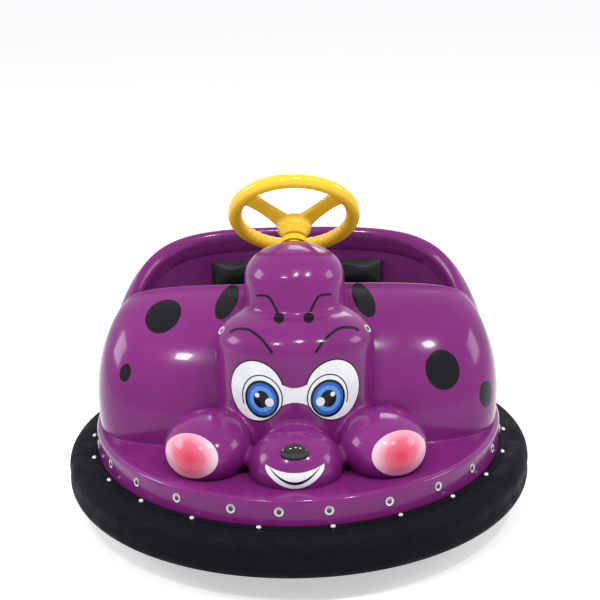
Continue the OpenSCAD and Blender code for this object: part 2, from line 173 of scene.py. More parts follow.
def newMaterial(name, colour, roughness, metallic=0, **more):
    material = bpy.data.materials.new(name)
    material.use_nodes = True
    shader = material.node_tree.nodes["Principled BSDF"]
    shader.inputs["Base Color"].default_value = (*colour, 1)
    shader.inputs["Roughness"].default_value = roughness
    shader.inputs["Metallic"].default_value = metallic
    for key, value in more.items():
        shader.inputs[shaderLabels[key]].default_value = value
    return material


def addNode(material, kind, **settings):
    node = material.node_tree.nodes.new(kind)
    for key, value in settings.items():
        if key in node.inputs:
            node.inputs[key].default_value = value
        else:
            setattr(node, key, value)
    return node


def wire(material, a, out, b, into):
    material.node_tree.links.new(a.outputs[out], b.inputs[into])


def wireShader(material, a, out, into):
    wire(material, a, out, material.node_tree.nodes["Principled BSDF"], into)


def objectPlace(material, scale=(1, 1, 1)):
    coords = addNode(material, "ShaderNodeTexCoord")
    mapping = addNode(material, "ShaderNodeMapping")
    mapping.inputs["Scale"].default_value = scale
    wire(material, coords, "Object", mapping, "Vector")
    return mapping


def noise(material, size, detail, rough, stretch=(1, 1, 1)):
    place = objectPlace(material, stretch)
    node = addNode(material, "ShaderNodeTexNoise", Detail=detail, Roughness=rough)
    node.inputs["Scale"].default_value = 1 / size
    wire(material, place, "Vector", node, "Vector")
    return node


def spread(material, source, out, low, high, toLow=0.0, toHigh=1.0):
    node = addNode(material, "ShaderNodeMapRange", clamp=True)
    node.inputs["From Min"].default_value = low
    node.inputs["From Max"].default_value = high
    node.inputs["To Min"].default_value = toLow
    node.inputs["To Max"].default_value = toHigh
    wire(material, source, out, node, "Value")
    return node


def varyColour(material, source, dark, light, low=0.3, high=0.7):
    share = spread(material, source, "Fac", low, high)
    blend = addNode(material, "ShaderNodeMix", data_type="RGBA")
    blend.inputs[6].default_value = (*dark, 1)
    blend.inputs[7].default_value = (*light, 1)
    wire(material, share, "Result", blend, 0)
    wireShader(material, blend, 2, "Base Color")


def varyRoughness(material, source, smooth, rough):
    share = spread(material, source, "Fac", 0.3, 0.7, smooth, rough)
    wireShader(material, share, "Result", "Roughness")


def addBump(material, source, depth, strength, below=None, out="Fac"):
    bump = addNode(material, "ShaderNodeBump", Strength=strength, Distance=depth)
    wire(material, source, out, bump, "Height")
    if below is not None:
        wire(material, below, "Normal", bump, "Normal")
    wireShader(material, bump, "Normal", "Normal")
    return bump


def shellPaint(name, dark, light, roughness, coat):
    material = newMaterial(name, light, roughness, coat=coat, coatRoughness=0.04, specular=0.13)
    varyColour(material, noise(material, 0.16, 4, 0.55), dark, light)
    varyRoughness(material, noise(material, 0.05, 5, 0.6), roughness * 0.75, roughness * 1.5)
    peel = addBump(material, noise(material, 0.006, 2, 0.5), 0.00015, 0.35)
    addBump(material, noise(material, 0.12, 2, 0.5), 0.0012, 0.25, peel)
    return material


def rubberPaint(name, dark, light, roughness, grain, depth):
    material = newMaterial(name, dark, roughness, specular=0.02)
    varyColour(material, noise(material, 0.008, 6, 0.7, (1, 1, 1.6)), dark, light, 0.35, 0.8)
    varyRoughness(material, noise(material, 0.04, 5, 0.6), roughness * 0.8, roughness * 1.3)
    fine = addBump(material, noise(material, grain, 3, 0.6), depth, 0.5)
    addBump(material, noise(material, 0.012, 6, 0.7, (1, 1, 3)), depth * 2, 0.22, fine)
    return material


def metalPaint(name, dark, light, roughness, metallic, grain=0.004):
    material = newMaterial(name, light, roughness, metallic)
    varyColour(material, noise(material, 0.05, 5, 0.6), dark, light)
    varyRoughness(material, noise(material, 0.012, 4, 0.6), roughness * 0.7, roughness * 1.4)
    addBump(material, noise(material, grain, 3, 0.6), 0.0002, 0.4)
    return material


purpleShell = shellPaint("purpleShell", (0.150, 0.013, 0.128), (0.200, 0.019, 0.170), 0.16, 0.16)
# Gelcoat for the cockpit's inside: a rougher inner finish, and a darker colour that is partly painted shade
darkShell = shellPaint("darkShell", (0.085, 0.010, 0.080), (0.120, 0.014, 0.105), 0.36, 0.05)
blackRubber = rubberPaint("blackRubber", (0.0048, 0.0054, 0.0072), (0.0105, 0.0118, 0.0150), 0.55, 0.0015, 0.0002)
tyreRubber = rubberPaint("tyreRubber", (0.010, 0.010, 0.010), (0.035, 0.034, 0.033), 0.62, 0.002, 0.0004)
yellowGrip = shellPaint("yellowGrip", (0.800, 0.470, 0.022), (0.870, 0.560, 0.032), 0.26, 0.35)
blackGloss = shellPaint("blackGloss", (0.008, 0.008, 0.009), (0.016, 0.016, 0.018), 0.18, 0.6)
frameSteel = metalPaint("frameSteel", (0.022, 0.022, 0.024), (0.045, 0.045, 0.048), 0.45, 0.0, 0.003)
brightSteel = metalPaint("brightSteel", (0.50, 0.51, 0.53), (0.66, 0.67, 0.68), 0.28, 1.0)
darkScrew = metalPaint("darkScrew", (0.035, 0.030, 0.036), (0.085, 0.075, 0.085), 0.34, 0.6)
paleCup = metalPaint("paleCup", (0.52, 0.48, 0.52), (0.70, 0.66, 0.70), 0.30, 0.25)
wheelAlloy = metalPaint("wheelAlloy", (0.50, 0.50, 0.52), (0.72, 0.72, 0.74), 0.38, 1.0, 0.002)
motorAlloy = metalPaint("motorAlloy", (0.28, 0.28, 0.30), (0.46, 0.46, 0.48), 0.45, 1.0, 0.002)
caseBlack = rubberPaint("caseBlack", (0.015, 0.015, 0.016), (0.028, 0.028, 0.030), 0.5, 0.001, 0.0001)


def vinylPaint():
    material = newMaterial("seatVinyl", (0.014, 0.014, 0.016), 0.45, sheen=0.03, specular=0.15)
    varyColour(material, noise(material, 0.06, 5, 0.6), (0.009, 0.009, 0.010), (0.020, 0.020, 0.022))
    grain = addNode(material, "ShaderNodeTexVoronoi", feature="DISTANCE_TO_EDGE")
    grain.inputs["Scale"].default_value = 420
    wire(material, objectPlace(material), "Vector", grain, "Vector")
    crease = addBump(material, grain, 0.0005, 0.5, out="Distance")
    addBump(material, noise(material, 0.03, 5, 0.6), 0.001, 0.3, crease)
    return material


seatVinyl = vinylPaint()
print("materials ready")


# Camera, floor and light, in metres

photoView = {"lens": 111.0, "sensor": 36.0, "place": (0.0714, -3.85, 1.51), "turn": 0.936, "tip": 74.6, "roll": -1.112}


def aimCamera():
    view = photoView
    camera = bpy.data.objects.new("photoCamera", bpy.data.cameras.new("photoCamera"))
    bpy.context.scene.collection.objects.link(camera)
    camera.data.lens = view["lens"]
    camera.data.sensor_width = view["sensor"]
    camera.data.clip_end = 60
    camera.matrix_world = (Matrix.Translation(view["place"]) @ Matrix.Rotation(math.radians(view["turn"]), 4, "Z")
                           @ Matrix.Rotation(math.radians(view["tip"]), 4, "X")
                           @ Matrix.Rotation(math.radians(view["roll"]), 4, "Z"))
    bpy.context.scene.camera = camera


studio = {
    "floorSize": 40.0, "floorGlow": 0.5, "floorColour": (0.80, 0.80, 0.80),
    "worldColour": (0.86, 0.88, 0.92), "worldStrength": 0.58,
    # name, place, size, watts, aimed at
    "lamps": [("softLeft", (-4.2, 0.4, 2.2), 1.6, 75, (0, 0, 0.3)),
              ("spotLeft", (-1.3, -2.6, 3.4), 0.4, 50, (0, 0, 0.3)),
              ("spotMiddle", (0.3, -2.2, 3.8), 0.4, 50, (0, 0, 0.3)),
              ("spotRight", (1.7, -1.9, 3.5), 0.4, 45, (0, 0, 0.3)),
              ("softRight", (4.0, 0.2, 2.0), 1.4, 42, (0, 0, 0.3)),
              ("rimBack", (0.6, 3.6, 2.8), 1.8, 50, (0, 0, 0.4))],
}


# One where a ray comes from the camera, a reflection or clear material, and none for light itself
def seenRay(owner):
    path = addNode(owner, "ShaderNodeLightPath")
    straight, either = (addNode(owner, "ShaderNodeMath", operation="MAXIMUM") for k in range(2))
    wire(owner, path, "Is Camera Ray", straight, 0)
    wire(owner, path, "Is Glossy Ray", straight, 1)
    wire(owner, straight, 0, either, 0)
    wire(owner, path, "Is Transmission Ray", either, 1)
    return either


def buildFloor():
    ops.mesh.primitive_plane_add(size=studio["floorSize"], location=(0, 0, 0))
    floor = settle(named("floor"))
    material = newMaterial("floorPale", studio["floorColour"], 0.9, specular=0.1)
    glow = addNode(material, "ShaderNodeEmission", Color=(1, 1, 1, 1))
    amount = addNode(material, "ShaderNodeMath", operation="MULTIPLY")
    amount.inputs[1].default_value = studio["floorGlow"]
    both = addNode(material, "ShaderNodeAddShader")
    wire(material, seenRay(material), 0, amount, 0)
    wire(material, amount, 0, glow, "Strength")
    wire(material, material.node_tree.nodes["Principled BSDF"], 0, both, 0)
    wire(material, glow, 0, both, 1)
    wire(material, both, 0, material.node_tree.nodes["Material Output"], 0)
    floor.data.materials.append(material)


def buildStudio():
    buildFloor()
    world = bpy.data.worlds.new("paleWorld")
    bpy.context.scene.world = world
    world.use_nodes = True
    back = world.node_tree.nodes["Background"]
    back.inputs["Color"].default_value = (*studio["worldColour"], 1)
    back.inputs["Strength"].default_value = studio["worldStrength"]
    white = addNode(world, "ShaderNodeBackground", Color=(1, 1, 1, 1), Strength=1.0)
    mix = addNode(world, "ShaderNodeMixShader")
    wire(world, seenRay(world), 0, mix, 0)
    wire(world, back, 0, mix, 1)
    wire(world, white, 0, mix, 2)
    wire(world, mix, 0, world.node_tree.nodes["World Output"], 0)
    for name, place, size, watts, target in studio["lamps"]:
        lamp = bpy.data.lights.new(name, "AREA")
        lamp.energy = watts
        lamp.size = size
        obj = bpy.data.objects.new(name, lamp)
        obj.location = place
        obj.rotation_euler = (Vector(target) - Vector(place)).to_track_quat("-Z", "Y").to_euler()
        bpy.context.scene.collection.objects.link(obj)
    bpy.context.scene.view_settings.view_transform = "Standard"


aimCamera()
buildStudio()
print("camera, floor and light ready")

# Forms of the car's mouldings, in millimetres, with the values that the frame was drawn from
form = {
    "halfWidth": 500, "halfLength": 600, "foot": (428, 290, 400), "rim": (380, 100, 290), "rimWidth": 24,
    "mid": 50, "rimFront": 490, "rimDip": 381, "dipRound": 0.003, "dipPower": 0.3, "rimBack": 528, "backPower": 1.1,
    "frontPower": 4, "rearPower": 2.4,
    "deck": 200, "skirtLow": 145, "wallTurn": 80, "bulge": 8, "lip": 45, "linerLean": 40, "linerToe": 14,
    "linerFront": -0.3, "shell": 6,
}
ribCount = 216  # sections round the car
angles = [math.radians(360 * i / ribCount) for i in range(ribCount)]


def outlineAt(a, inward, z):
    r, s = form["halfWidth"], form["halfLength"]
    h = math.hypot(r * math.cos(a), s * math.sin(a))
    return Vector(((r * r / h - inward) * math.cos(a), (s * s / h - inward) * math.sin(a), z))


def unitAt(a):
    c, s = math.cos(a), math.sin(a)
    n = form["frontPower"] if s < 0 else form["rearPower"]
    r = (abs(c) ** n + abs(s) ** n) ** (-1 / n)
    return r * c, r * s


def planAt(reach, a, z):
    u, v = unitAt(a)
    return Vector((reach[0] * u, form["mid"] + (reach[1] if v < 0 else reach[2]) * v, z))


def inset(reach, t):
    return tuple(r - t for r in reach)


def rimHeight(a):
    v = unitAt(a)[1]
    if v < 0:
        softness, power = form["dipRound"], form["dipPower"]
        soft = softness ** power
        share = ((v * v + softness) ** power - soft) / ((1 + softness) ** power - soft)
        return form["rimDip"] + (form["rimFront"] - form["rimDip"]) * share
    return form["rimDip"] + (form["rimBack"] - form["rimDip"]) * math.sin(math.pi / 2 * v) ** form["backPower"]


def wallPoint(a, share, low, high, top, base):
    u = math.radians(form["wallTurn"] * share)
    full = math.radians(form["wallTurn"])
    h = math.sin(u) / math.sin(full)
    b = form["bulge"] * math.sin(math.pi * h)
    lean = (1 - math.cos(u)) / (1 - math.cos(full))
    p = planAt(inset(low, -b), a, 0).lerp(planAt(inset(high, -b), a, 0), lean)
    p.z = base + (top - base) * h
    return p


def throughPoints(points, steps):
    path = []
    for i in range(1, len(points) - 2):
        a, b, c, d = points[i - 1:i + 3]
        for k in range(steps):
            t = k / steps
            path.append(0.5 * ((2 * b) + (c - a) * t + (2 * a - 5 * b + 4 * c - d) * t * t
                               + (3 * b - a - 3 * c + d) * t ** 3))
    return path + [points[-2]]


def turns(count):
    return [2 * math.pi * i / count for i in range(count)]


def quarter(radius, step):  # a rounded edge: how far in from the side, how far down from the top
    return [(radius * (1 - math.cos(u)), radius * (1 - math.sin(u)))
            for u in (math.radians(d) for d in range(0, 91, step))]


def scaled(sections):
    return [[p * mm for p in section] for section in sections]


# Body, rolled rim, deck ledge and skirt in one moulding
bodyWork = {
    "skirtIn": 68, "skirtOut": 62, "edgeRound": 10, "deckTop": 200.5, "under": 193.5, "fillet": 5, "wallSteps": 26,
    "skirtRise": (150, 160, 170, 180, 188), "inside": 12,  # heights up the skirt, steps down the inner wall
    # share of the way in from the rim's outer edge, height over it
    "roll": ((0.35, 7), (0.75, 3), (1, -12), (1, -28), (1, -36)),
    "lipBack": ((0.75, -6), (0.4, -3)),
    "lipEnd": (-43, -44.6, -14),  # where its rounded edge starts, its lowest, and its back
}


def bodySection(a):
    w, f = bodyWork, form
    top, base = rimHeight(a), w["deckTop"]
    inner = inset(f["rim"], f["rimWidth"])
    pts = [outlineAt(a, w["skirtIn"] - 1, f["skirtLow"]), outlineAt(a, w["skirtOut"] + 1.5, f["skirtLow"]),
           outlineAt(a, w["skirtOut"] + 0.4, f["skirtLow"] + 0.4), outlineAt(a, w["skirtOut"], f["skirtLow"] + 1.5)]
    pts += [outlineAt(a, w["skirtOut"], z) for z in w["skirtRise"]]
    pts += [outlineAt(a, w["skirtOut"] + t, base - z) for t, z in quarter(w["edgeRound"], 12)]
    edge = outlineAt(a, w["skirtOut"] + w["edgeRound"], base)
    wall = [wallPoint(a, k / w["wallSteps"], f["foot"], f["rim"], top, base) for k in range(w["wallSteps"] + 1)]
    foot = wall[0]
    room = (edge - foot).length
    fillet = min(w["fillet"], 0.5 * room)
    out = (edge - foot).normalized() if room > 0.01 else Vector((0, 0, 0))
    start = foot + out * fillet
    pts += [edge.lerp(start, t) for t in (0, 0.34, 0.67)]
    end = foot.lerp(wall[1], min(1, fillet / max((wall[1] - foot).length, 0.01)))
    for t in (0, 0.2, 0.4, 0.6, 0.8, 1):
        pts.append(start * (1 - t) ** 2 + foot * 2 * t * (1 - t) + end * t * t)
    pts += wall[1:-1]
    r, i = planAt(f["rim"], a, top), planAt(inner, a, top)
    o = planAt(inset(inner, -f["shell"]), a, top)

    def at(point, dz):
        return Vector((point.x, point.y, top + dz))
    roll = [wall[-2], wall[-1]] + [at(r.lerp(i, share), dz) for share, dz in w["roll"]]
    pts += throughPoints(roll, 4)[1:]
    end, lowest, back = w["lipEnd"]
    pts += [at(i, end), at(i.lerp(o, 0.2), lowest), at(i.lerp(o, 0.8), lowest), at(o, end), at(o, back)]
    pts += [at(r.lerp(i, share), dz) for share, dz in w["lipBack"]]
    low, high = inset(f["foot"], f["shell"]), inset(f["rim"], f["shell"] / 3)
    pts += [wallPoint(a, k / w["inside"], low, high, top - f["shell"], base) for k in range(w["inside"], -1, -1)]
    foot = pts[-1]
    pts.append(Vector((foot.x, foot.y, w["under"])))
    pts.append(outlineAt(a, w["skirtIn"] + 3, w["under"]))
    pts += [outlineAt(a, w["skirtIn"], z) for z in (188, 170, 150, f["skirtLow"] + 1)]
    return pts


bodyShell = skinPiece("bodyShell", scaled([bodySection(a) for a in angles]))
fit(bodyShell, "car", "body_gelcoat", purpleShell, "body_shell", "deck")
# The cockpit's inner faces of this moulding take the second material: rougher as an inner finish, darker in colour as
# painted shade in part
bodyShell.data.materials.append(darkShell)
for polygon in bodyShell.data.polygons:
    middle = polygon.center / mm
    x, y = middle.x, middle.y - form["mid"]
    a = math.atan2(y / form["foot"][2 if y > 0 else 1], x / form["foot"][0])
    facingIn = polygon.normal.x * x + polygon.normal.y * y < 0 or polygon.normal.z < -0.3
    if facingIn and form["deck"] + 4 < middle.z < rimHeight(a) - 4:  # the inside of the cockpit
        polygon.material_index = 1
print("body moulding ready")

# Smooth liner behind the seat, from the lip down to the deck
def linerReach():  # its plan at its top and at its foot
    top = inset(form["rim"], form["rimWidth"])
    return top, (top[0] - form["linerToe"], top[1], top[2] - form["linerLean"])


def linerSection(a):
    top, foot = linerReach()
    high, low = rimHeight(a) - form["lip"] + 0.4, form["deck"] + 0.3
    outerTop, outerFoot = inset(top, -form["shell"]), inset(foot, -form["shell"])
    steps = np.linspace(0, 1, 9)
    inside = [planAt(top, a, high).lerp(planAt(foot, a, low), t) for t in steps]
    return inside + [planAt(outerFoot, a, low).lerp(planAt(outerTop, a, high), t) for t in steps]


linerAngles = [a for a in (math.radians(-90 + 360 * i / ribCount) for i in range(ribCount))
               if unitAt(a)[1] >= form["linerFront"]]
cockpitLiner = skinPiece("cockpitLiner", scaled([linerSection(a) for a in linerAngles]), ring=False)
# The liner takes the darker inner material, its colour partly painted shade
fit(cockpitLiner, "car", "liner_gelcoat", darkShell, "cockpit_liner")

# Rubber ring: one moulded section with rounded shoulders and a shallow hollow in its face
rubberRing = {"depth": 95, "low": 55, "high": 144, "round": 30, "hollow": 1.5}


def rubberSection(a):
    w = rubberRing
    pts = [outlineAt(a, w["depth"], w["low"]), outlineAt(a, w["depth"], w["high"] - 1),
           outlineAt(a, w["depth"] - 1, w["high"])]
    pts += [outlineAt(a, t, w["high"]) for t in (75, 60, 45, 35)]
    edge = quarter(w["round"], 9)
    pts += [outlineAt(a, t, w["high"] - z) for t, z in reversed(edge)]
    middle, half = (w["low"] + w["high"]) / 2, (w["high"] - w["low"]) / 2 - w["round"]
    for t in (0.6, 0.2, -0.2, -0.6):
        pts.append(outlineAt(a, w["hollow"] * (1 - abs(t)), middle + half * t))
    pts += [outlineAt(a, t, w["low"] + z) for t, z in edge]
    pts += [outlineAt(a, t, w["low"]) for t in (45, 65, 85)]
    return pts


bumperRing = skinPiece("bumperRing", scaled([rubberSection(a) for a in angles]))
fit(bumperRing, "car", "bumper_rubber", blackRubber, "bumper")
print("rubber ring ready")

# Flat retaining strip that clamps the rubber's top edge
strip = {"outer": 47.5, "inner": 61, "low": 144.1, "high": 146.3, "edge": 0.8}


def stripSection(a):
    w = strip
    corners = [(w["outer"], w["low"]), (w["outer"], w["high"] - w["edge"]), (w["outer"] + w["edge"], w["high"]),
               (w["inner"] - w["edge"], w["high"]), (w["inner"], w["high"] - w["edge"]), (w["inner"], w["low"])]
    return [outlineAt(a, t, z) for t, z in corners]


retainingStrip = skinPiece("retainingStrip", scaled([stripSection(a) for a in angles]))
fit(retainingStrip, "car", "bumper_rubber", blackRubber, sharp=30)

# Face moulding: head, hump, snout and cheeks melted into one form and trimmed to the body and deck
face = {
    # middle and half sizes of each ball
    "head": ((0, -202, 425), (165, 140, 75)), "headLow": 190,
    "hump": ((0, -150, 543), (104, 104, 70)), "humpLow": 270, "humpLean": 12,
    "snout": ((0, -398, 222), (95, 95, 72)), "cheek": ((176, -340, 242), (89, 112, 71)),
    "shoulder": ((0, -120, 300), (204, 158, 122)),
    "voxel": 4, "rounds": 26,
}


def addDrum(radius, tall, z, vertices=64):
    ops.mesh.primitive_cylinder_add(vertices=vertices, radius=radius * mm, depth=tall * mm, location=(0, 0, z * mm))
    return fresh()


def addBall(centre, radii):
    ops.mesh.primitive_uv_sphere_add(segments=64, ring_count=40, radius=1, location=[c * mm for c in centre],
                                     scale=[r * mm for r in radii])
    return fresh()


def addRound(centre, radii, length, turn):
    ops.mesh.primitive_cylinder_add(vertices=96, radius=1, depth=1)
    obj = fresh()
    obj.data.transform(Matrix.Translation(Vector(centre) * mm) @ Matrix.Rotation(turn, 4, "X")
                       @ Matrix.Diagonal((radii[0] * mm, radii[1] * mm, length * mm, 1))
                       @ Matrix.Translation((0, 0, 0.5)))
    return obj


def buildFace(withCheeks=True):
    headAt, headSize = face["head"]
    humpAt, humpSize = face["hump"]
    parts = [addBall(headAt, headSize),
             addRound((headAt[0], headAt[1], face["headLow"]), headSize[:2], headAt[2] - face["headLow"], 0),
             addBall(humpAt, humpSize),
             addRound(humpAt, humpSize[:2], face["humpLow"], math.radians(180 - face["humpLean"])),
             addBall(*face["snout"]), addBall(*face["shoulder"])]
    cheekAt, cheekSize = face["cheek"]
    for side in (-1, 1) if withCheeks else ():
        parts.append(addBall((side * cheekAt[0], *cheekAt[1:]), cheekSize))
    obj = joined("faceMoulding", parts)
    modify(obj, "REMESH", mode="VOXEL", voxel_size=face["voxel"] * mm)
    modify(obj, "SMOOTH", factor=0.6, iterations=face["rounds"])
    return obj


# The body's own wall drawn in a little, closed into a block that trims the face moulding
trim = {"inward": 3, "low": 150, "high": 500}


def buildTrimmer():
    w, low, high = trim, inset(form["foot"], trim["inward"]), inset(form["rim"], trim["inward"])
    sections = []
    for a in angles[::2]:
        top = rimHeight(a)
        pts = [wallPoint(a, k / 14, low, high, top - 2, form["deck"]) for k in range(15)]
        last = pts[-1].lerp(planAt(inset(form["rim"], form["rimWidth"]), a, top), 0.35)
        pts += [Vector((last.x, last.y, top + 4)), Vector((0, form["mid"], w["high"])),
                Vector((0, form["mid"], w["low"])), planAt(low, a, w["low"])]
        sections.append(pts)
    return skinPiece("trimmer", scaled(sections))


faceMoulding = buildFace()
trimmer = buildTrimmer()
modify(faceMoulding, "BOOLEAN", operation="DIFFERENCE", solver="EXACT", object=trimmer)
bpy.data.objects.remove(trimmer)
editAll(faceMoulding)
ops.mesh.bisect(plane_co=(0, 0, (form["deck"] + 0.3) * mm), plane_no=(0, 0, 1), clear_inner=True, use_fill=True)
ops.object.mode_set(mode="OBJECT")
fit(faceMoulding, "car", "body_gelcoat", purpleShell, "front_moulding", sharp=50)
print("face moulding ready")

# Steering wheel: a grip with finger ripples, three flat spokes and a cone hub
wheel = {
    "centre": (0, -38, 648), "lean": 46, "radius": 124.5, "grip": 15.5, "dish": 30, "spokes": (90, 214, 326),
    "spokeFrom": 18, "spokeTo": 120.5, "spokeHalf": 17, "spokeFlare": 26, "spokeThick": (13, 9),
    "ripples": 44, "rippleDepth": 1.3, "hubRadius": 36, "hubTall": 18, "hubFoot": 24, "hubLow": 58, "voxel": 2.2,
}


def columnPlace():
    return Matrix.Translation(Vector(wheel["centre"]) * mm) @ Matrix.Rotation(math.radians(-wheel["lean"]), 4, "X")


def buildWheel():
    w = wheel
    ops.mesh.primitive_torus_add(major_segments=264, minor_segments=28, major_radius=w["radius"] * mm,
                                 minor_radius=w["grip"] * mm)
    grip = fresh()
    for v in grip.data.vertices:
        turn = math.atan2(v.co.y, v.co.x)
        out = Vector((math.cos(turn), math.sin(turn), 0))
        rel = v.co - out * w["radius"] * mm
        facing = max(0, -rel.dot(out) / (w["grip"] * mm))
        v.co += out * facing * w["rippleDepth"] * mm * (1 - math.cos(w["ripples"] * turn))
    parts = [grip]
    for turn in w["spokes"]:
        ops.mesh.primitive_cube_add(size=1)
        spoke = fresh()
        modify(spoke, "SUBSURF", subdivision_type="SIMPLE", levels=4, render_levels=4)
        thick, thin = w["spokeThick"]
        for v in spoke.data.vertices:
            share = v.co.x + 0.5
            wide = w["spokeHalf"] + w["spokeFlare"] * (share - 0.5) ** 2
            v.co = Vector((w["spokeFrom"] + (w["spokeTo"] - w["spokeFrom"]) * share, v.co.y * 2 * wide,
                           v.co.z * (thick - (thick - thin) * share) - w["dish"] * max(0, 1 - share) ** 1.4)) * mm
        spoke.data.transform(Matrix.Rotation(math.radians(turn), 4, "Z"))
        parts.append(spoke)
    parts.append(addDrum(w["hubRadius"], w["hubTall"], -w["dish"]))
    length = w["hubLow"] - w["dish"] - w["hubTall"] / 2
    ops.mesh.primitive_cone_add(vertices=64, radius1=w["hubFoot"] * mm, radius2=w["hubRadius"] * mm, depth=length * mm,
                                location=(0, 0, -(w["hubLow"] - length / 2) * mm))
    parts.append(fresh())
    obj = joined("steeringWheel", parts)
    modify(obj, "REMESH", mode="VOXEL", voxel_size=w["voxel"] * mm)
    modify(obj, "SMOOTH", factor=0.6, iterations=6)
    obj.data.transform(columnPlace())
    return obj


steeringWheel = buildWheel()
fit(steeringWheel, "steering_wheel", "wheel_yellow", yellowGrip, "steering_rim", "steering_hub", sharp=60)
print("steering wheel ready")

# Decals: thin vinyl shapes laid on the mouldings
def polarShape(width, height, turn=0.0, rings=7, around=48):
    rows = []
    for k in range(rings + 1):
        share = k / rings
        row = []
        for a in turns(around):
            x, y = 0.5 * width * share * math.cos(a), 0.5 * height * share * math.sin(a)
            row.append((x * math.cos(turn) - y * math.sin(turn), x * math.sin(turn) + y * math.cos(turn)))
        rows.append(row)
    return rows, True


def bandShape(half, lower, upper, along=44, across=8):
    rows = []
    for k in range(across + 1):
        row = []
        for i in range(along + 1):
            u = -1 + 2 * i / along
            low, high = lower(u), upper(u)
            row.append((half * u, low + (high - low) * k / across))
        rows.append(row)
    return rows, False


def strokeShape(path, width, across=3, steps=6):
    line = throughPoints([Vector(p) for p in (path[0], *path, path[-1])], steps)
    rows = []
    for k in range(across + 1):
        row = []
        for i, point in enumerate(line):
            run = (line[min(i + 1, len(line) - 1)] - line[max(i - 1, 0)]).normalized()
            off = width * (k / across - 0.5)
            row.append((point.x - run.y * off, point.y + run.x * off))
        rows.append(row)
    return rows, False


def castSurface(*targets):
    points, faces = [], []
    for target in targets:
        first = len(points)
        points += [v.co.copy() for v in target.data.vertices]
        faces += [[first + k for k in polygon.vertices] for polygon in target.data.polygons]
    return BVHTree.FromPolygons(points, faces)


film = {"thick": 1, "reach": 90}  # of each decal, and how far out its rays start
sides = ((-1, "left"), (1, "right"))


def mirrored(side, place):
    return (side * place[0], *place[1:])


def layDecal(name, shape, centre, facing, surface, material, lift=0.5, shift=(0, 0)):
    rows, closed = shape
    facing = Vector(facing).normalized()
    right = Vector((0, 0, 1)).cross(facing).normalized()
    up = facing.cross(right)
    points = []
    for row in rows:
        for x, y in row:
            start = (Vector(centre) + right * (x + shift[0]) + up * (y + shift[1]) + facing * film["reach"]) * mm
            spot, normal = surface.ray_cast(start, -facing)[:2]
            if spot is None:
                raise RuntimeError(name + " misses its surface")
            points.append(spot + normal * lift * mm)
    size = len(rows[0])
    faces = []
    for k in range(len(rows) - 1):
        for i in range(size if closed else size - 1):
            j = (i + 1) % size
            faces.append((k * size + i, k * size + j, (k + 1) * size + j, (k + 1) * size + i))
    obj = outward(meshPiece(name, points, faces))
    middle = obj.data.polygons[len(obj.data.polygons) // 2]
    if middle.normal.dot(facing) < 0:
        editAll(obj)
        ops.mesh.flip_normals()
        ops.object.mode_set(mode="OBJECT")
    modify(obj, "SOLIDIFY", thickness=film["thick"] * mm, offset=-1)
    fit(obj, "car", "body_gelcoat", material)


def vinylSheet(name, colour, roughness=0.22):
    material = newMaterial(name, colour, roughness, coat=0.12, coatRoughness=0.05, specular=0.12)
    dark = tuple(c * 0.86 for c in colour)
    varyColour(material, noise(material, 0.03, 5, 0.6), dark, colour)
    varyRoughness(material, noise(material, 0.02, 4, 0.6), roughness * 0.8, roughness * 1.4)
    return material


whiteVinyl = vinylSheet("whiteVinyl", (0.80, 0.81, 0.84))
blackVinyl = vinylSheet("blackVinyl", (0.0055, 0.0050, 0.0080), 0.16)
blueVinyl = vinylSheet("blueVinyl", (0.022, 0.120, 0.480))
paleBlueVinyl = vinylSheet("paleBlueVinyl", (0.10, 0.30, 0.72))


def blushVinyl(centre, fade):  # deep in the middle and paler outward
    material = newMaterial("blushVinyl", (0.80, 0.20, 0.28), 0.22, coat=0.15, coatRoughness=0.05, specular=0.15)
    coords = addNode(material, "ShaderNodeTexCoord")
    split = addNode(material, "ShaderNodeSeparateXYZ")
    wire(material, coords, "Object", split, "Vector")
    side = addNode(material, "ShaderNodeMath", operation="ABSOLUTE")
    wire(material, split, "X", side, 0)
    gather = addNode(material, "ShaderNodeCombineXYZ")
    wire(material, side, "Value", gather, "X")
    wire(material, split, "Z", gather, "Z")
    away = addNode(material, "ShaderNodeVectorMath", operation="DISTANCE")
    away.inputs[1].default_value = (centre[0] * mm, 0, centre[2] * mm)
    wire(material, gather, "Vector", away, 0)
    ramp = addNode(material, "ShaderNodeValToRGB")
    share = spread(material, away, "Value", *(reach * mm for reach in fade))
    wire(material, share, "Result", ramp, "Fac")
    stops = ramp.color_ramp.elements
    stops[0].color = (0.568, 0.040, 0.084, 1)
    stops[1].color = (0.744, 0.504, 0.594, 1)
    middle = stops.new(0.5)
    middle.color = (0.619, 0.120, 0.200, 1)
    wireShader(material, ramp, "Color", "Base Color")
    return material


# Plain face: oval eyes, a curved smile and round blushes
look = {
    "eye": (84, -340, 352), "eyeFacing": (0.34, -1, 0.04), "iris": (-13, -16),
    # name, width and height, vinyl, lift, and whether it stands on the iris
    "eyeParts": (("eyeEdge", (122, 130), blackVinyl, 0.3, False), ("eyeWhite", (116, 124), whiteVinyl, 0.6, False),
                 ("eyeRing", (74, 79), blackVinyl, 0.75, True), ("iris", (64, 68), blueVinyl, 0.9, True),
                 ("irisLight", (52, 54), paleBlueVinyl, 1.2, True), ("pupil", (33, 36), blackVinyl, 1.5, True)),
    "eyeLine": (43, 48, 2), "eyeLineWidth": 2.4,  # radii and rise over the iris
    "glints": (((-17, -5), 18), ((9, 8), 10)),  # towards the nose, then outward
    "bridge": (0, -340, 346), "bridgeHalf": 40,
    "blush": (208, -420, 250), "blushFacing": (0.42, -1, 0.22), "blushSize": (126, 88), "blushFade": (6, 52),
    "mouth": (0, -480, 243), "mouthHalf": 57, "lineHalf": 49,
}
faceSurface = castSurface(faceMoulding)
bareHead = buildFace(withCheeks=False)
headSurface = castSurface(bareHead)  # eyes lie on the head and end where a cheek covers it
bpy.data.objects.remove(bareHead)
